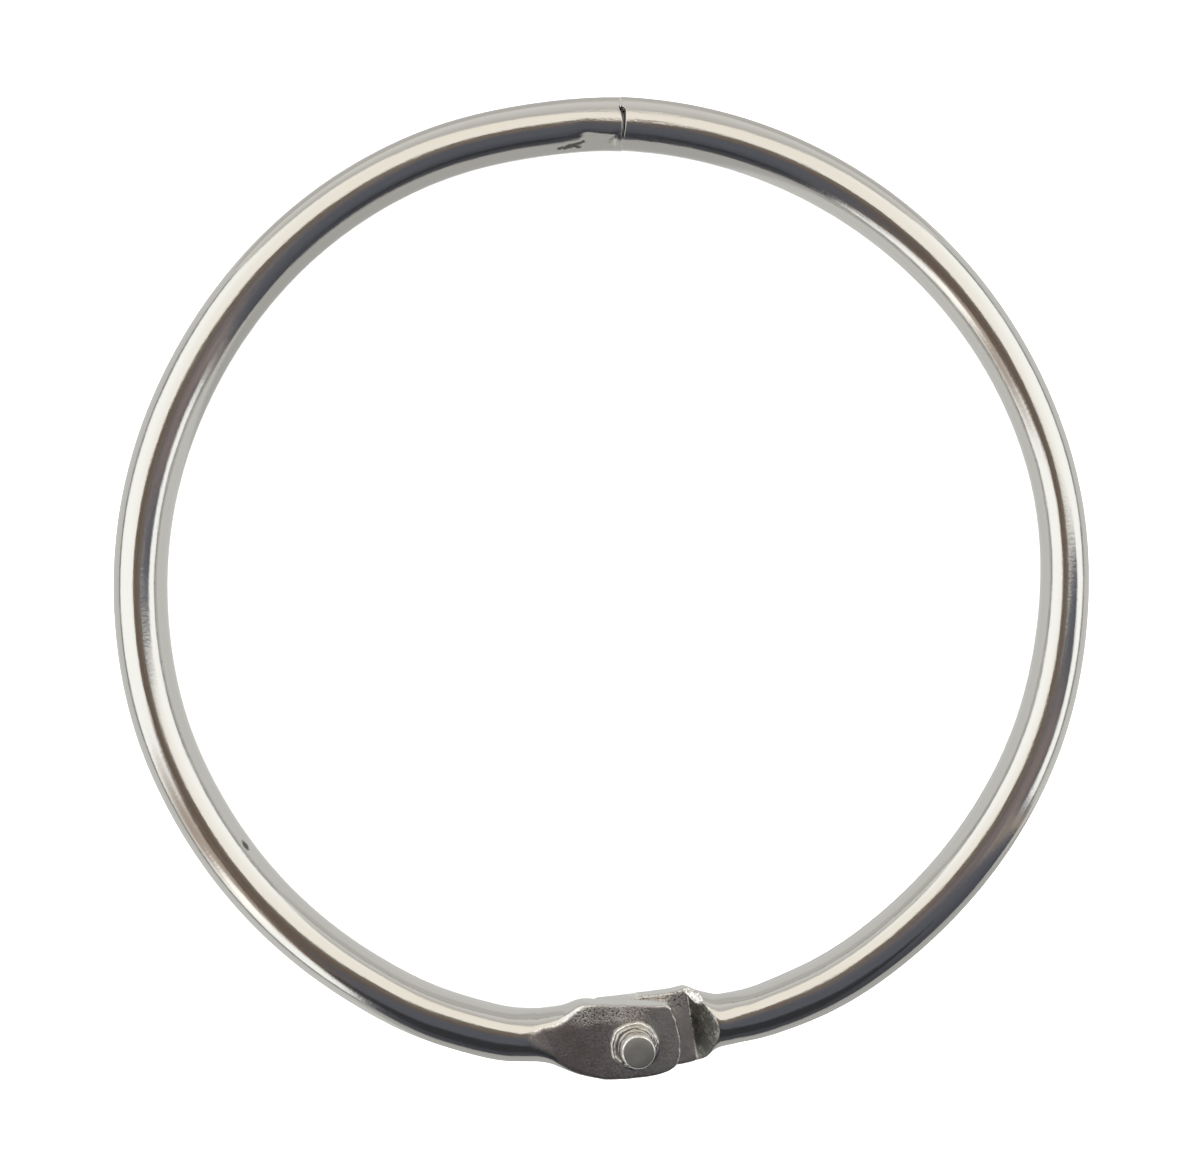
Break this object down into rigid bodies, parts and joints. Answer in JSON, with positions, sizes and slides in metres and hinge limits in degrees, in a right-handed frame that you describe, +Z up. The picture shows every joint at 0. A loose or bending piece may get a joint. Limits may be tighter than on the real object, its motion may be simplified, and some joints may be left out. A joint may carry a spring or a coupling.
{
  "type": "hinged binder ring",
  "caption": "Round-wire loose-leaf ring in two halves, lapped and riveted at a flat hinge and snapped shut opposite it by a peg in a socket, to hold punched sheets or cards.",
  "frame": {"origin": "centre of the ring, level with the underside of the rivet's head that the ring stands on", "axes": "+Z up out of the plane of the ring, -Y towards the rivet, +X towards the half that swings"},
  "size_m": [0.076, 0.0759, 0.0054],
  "materials": {
    "plated_wire": "bright nickel plate on steel wire",
    "staked_rivet": "nickel plate, staked and cut bare on its end"
  },
  "bodies": {
    "left_half": {"left_half_ring": "plated_wire", "hinge_rivet": "staked_rivet"},
    "right_half": {"right_half_ring": "plated_wire"}
  },
  "joints": [
    {"name": "hinge_swing", "type": "hinge", "parent": "left_half", "child": "right_half", "pos_m": [0, -0.03565, 0.00225], "axis": [0, 0, -1], "range_deg": [0, 120]}
  ]
}
